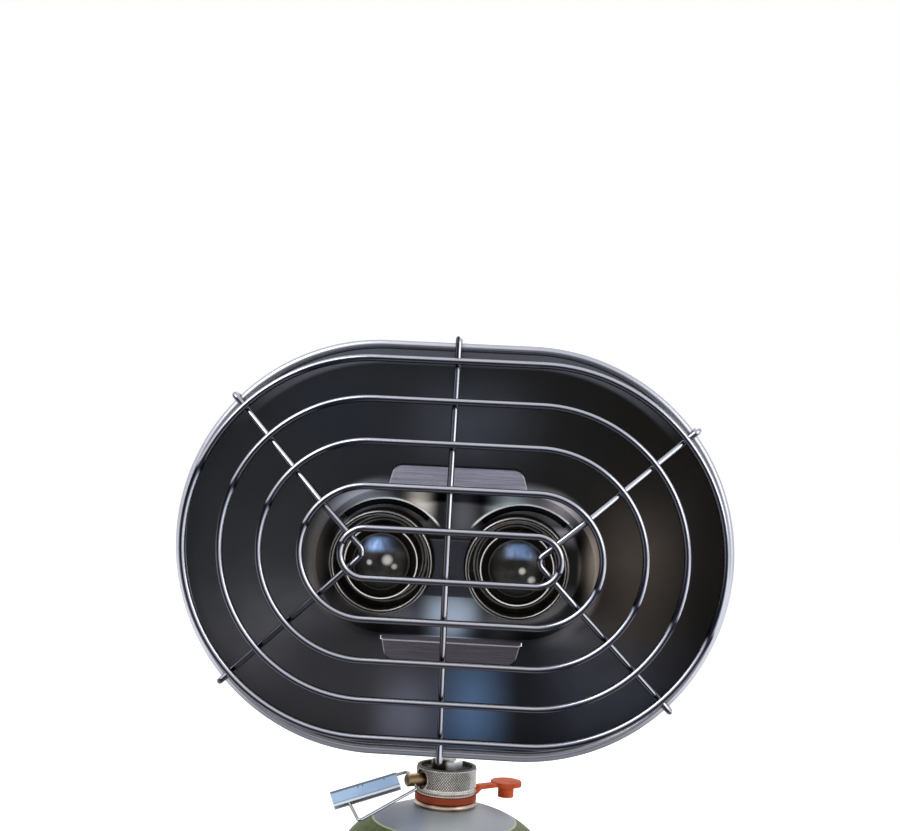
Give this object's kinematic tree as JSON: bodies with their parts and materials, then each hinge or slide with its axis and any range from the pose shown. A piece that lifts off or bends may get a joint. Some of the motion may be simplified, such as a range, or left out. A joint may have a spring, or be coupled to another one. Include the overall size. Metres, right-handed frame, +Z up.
{
  "type": "portable propane heater",
  "caption": "Tilting twin-burner radiant heater with an oval reflector dish and wire guard, screwed on a small threaded gas canister that is its foot.",
  "frame": {"origin": "centre of the canister's base, on its axis, at the level of the surface it stands on", "axes": "+Z up along the canister's axis, the reflector's mouth looks along -Y, +X is the viewer's right"},
  "size_m": [0.263, 0.1676, 0.3238],
  "materials": {
    "canister_paint": "satin lacquer, pale grey-blue with a green band",
    "cup_steel": "plated",
    "liquid_gas": "stands for liquid gas",
    "rubber_black": "matt",
    "rubber_orange": "matt",
    "valve_alloy": "turned and knurled",
    "brass": "dull, turned",
    "dark_steel": "blackened",
    "steel_plated": "zinc plated",
    "steel_wire": "bright drawn wire",
    "grip_sheet": "bright sheet",
    "reflector_steel": "polished stainless sheet",
    "burner_steel": "dark polished",
    "dome_steel": "polished",
    "gauze_steel": "woven wire",
    "bracket_steel": "plain sheet"
  },
  "bodies": {
    "canister": {"canister_body": "canister_paint", "canister_fuel": "liquid_gas", "canister_valve_cup": "cup_steel", "canister_valve_core": "rubber_black", "canister_valve_pin": "brass"},
    "valve": {"valve_body": "valve_alloy", "thread_seal": "rubber_black", "valve_probe": "brass", "spindle_gland": "dark_steel", "riser_tube": "steel_plated", "riser_nut": "steel_plated", "riser_eye": "steel_plated", "pivot_seals": "rubber_black"},
    "spindle": {"valve_spindle": "brass"},
    "handle": {"handle_wire": "steel_wire", "handle_grip": "grip_sheet"},
    "dust_cap": {"dust_cap": "rubber_orange"},
    "head": {"head_clevis": "steel_plated", "pivot_bolt": "steel_plated", "pivot_nut": "steel_plated", "pivot_washers": "steel_plated", "feed_pipe": "brass", "manifold": "brass", "manifold_plugs": "brass", "reflector_dish": "reflector_steel", "rear_bracket": "bracket_steel", "burner_bridge": "bracket_steel", "burner_cup_left": "burner_steel", "burner_ring_left": "burner_steel", "burner_gauze_left": "gauze_steel", "burner_dome_left": "dome_steel", "mixing_tube_left": "steel_plated", "tube_spacer_left": "steel_plated", "jam_nut_left": "steel_plated", "gas_jet_left": "brass", "burner_cup_right": "burner_steel", "burner_ring_right": "burner_steel", "burner_gauze_right": "gauze_steel", "burner_dome_right": "dome_steel", "mixing_tube_right": "steel_plated", "tube_spacer_right": "steel_plated", "jam_nut_right": "steel_plated", "gas_jet_right": "brass", "guard_ring_1": "steel_wire", "guard_ring_2": "steel_wire", "guard_ring_3": "steel_wire", "guard_ring_4": "steel_wire", "guard_ring_5": "steel_wire", "guard_centre_wire": "steel_wire", "guard_left_wire": "steel_wire", "guard_right_wire": "steel_wire"}
  },
  "joints": [
    {"name": "canister_unscrew", "type": "slide", "parent": "canister", "child": "valve", "axis": [0, 0, 1], "range_m": [0, 0.014]},
    {"name": "head_tilt", "type": "hinge", "parent": "valve", "child": "head", "pos_m": [0, 0, 0.1611], "axis": [-1, 0, 0], "range_deg": [-12, 48]},
    {"name": "valve_turn", "type": "hinge", "parent": "valve", "child": "spindle", "pos_m": [0, 0, 0.0998], "axis": [-0.848, -0.5299, 0], "range_deg": [0, 720]},
    {"name": "handle_fold", "type": "hinge", "parent": "spindle", "child": "handle", "pos_m": [-0.0173, -0.01081, 0.0998], "axis": [-0.4679, 0.7488, 0.4695], "range_deg": [-14, 110]},
    {"name": "cap_swing", "type": "hinge", "parent": "valve", "child": "dust_cap", "pos_m": [0, 0, 0.0905], "axis": [0, 0, 1], "range_deg": [-90, 90]}
  ]
}
